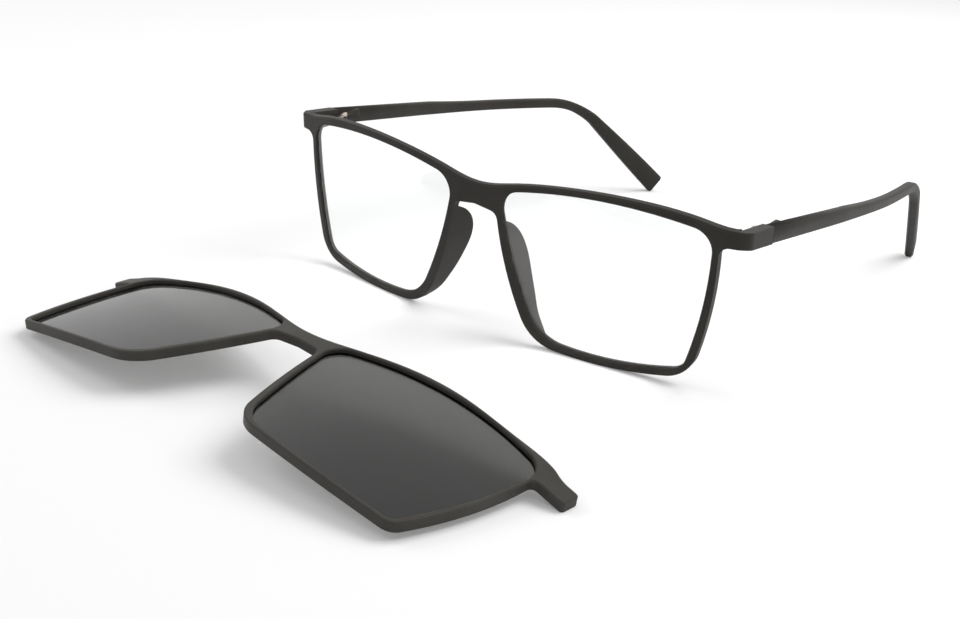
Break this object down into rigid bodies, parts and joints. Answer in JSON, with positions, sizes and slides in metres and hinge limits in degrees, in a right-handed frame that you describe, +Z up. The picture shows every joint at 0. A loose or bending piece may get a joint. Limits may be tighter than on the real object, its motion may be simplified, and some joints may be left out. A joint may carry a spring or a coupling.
{
  "type": "eyeglasses with magnetic sun clip",
  "caption": "Full-rim eyeglasses with folding temples, moulded nose pads and clear lenses, and a matching magnetic sun clip that lies on the table ahead of them.",
  "frame": {"origin": "middle of the footprint of glasses and clip together, on the table", "axes": "+Z up from the table, the glasses face -Y with their temples to +Y, and the sun clip lies on the table on the -Y side; right means +X"},
  "size_m": [0.1496, 0.2614, 0.0434],
  "materials": {
    "frame_plastic": "soft-touch matte moulded plastic, near black with a brown-olive cast",
    "clip_plastic": "matte moulded plastic, a little browner and lighter than the glasses",
    "clear_lens": "clear uncoated plastic demo lens",
    "sun_lens": "neutral smoke grey-green polarised film lens, glossy",
    "hinge_metal": "plated nickel silver with a warm cast",
    "magnet_metal": "nickel-plated magnet"
  },
  "bodies": {
    "glasses": {"front_frame": "frame_plastic", "clear_lens_right": "clear_lens", "clear_lens_left": "clear_lens", "frame_magnet_right": "magnet_metal", "frame_magnet_left": "magnet_metal", "hinge_front_right": "hinge_metal", "hinge_front_left": "hinge_metal", "hinge_screw_right": "hinge_metal", "hinge_screw_left": "hinge_metal"},
    "temple_right": {"temple_right": "frame_plastic", "hinge_temple_right": "hinge_metal"},
    "temple_left": {"temple_left": "frame_plastic", "hinge_temple_left": "hinge_metal"},
    "clip": {"clip_frame": "clip_plastic", "sun_lens_right": "sun_lens", "sun_lens_left": "sun_lens", "clip_magnet_right": "magnet_metal", "clip_magnet_left": "magnet_metal"}
  },
  "joints": [
    {"name": "temple_right_fold", "type": "hinge", "parent": "glasses", "child": "temple_right", "pos_m": [0.06577, -0.01551, 0.03831], "axis": [0, -0.1115, 0.9938], "range_deg": [0, 85]},
    {"name": "temple_left_fold", "type": "hinge", "parent": "glasses", "child": "temple_left", "pos_m": [-0.06353, -0.01551, 0.03831], "axis": [0, 0.1115, -0.9938], "range_deg": [0, 79]},
    {"name": "clip_swing", "type": "hinge", "parent": "glasses", "child": "clip", "pos_m": [-0.00266, -0.07642, 0.04809], "axis": [0.9983, -0.0427, 0.0403], "range_deg": [0, 93.4]}
  ]
}
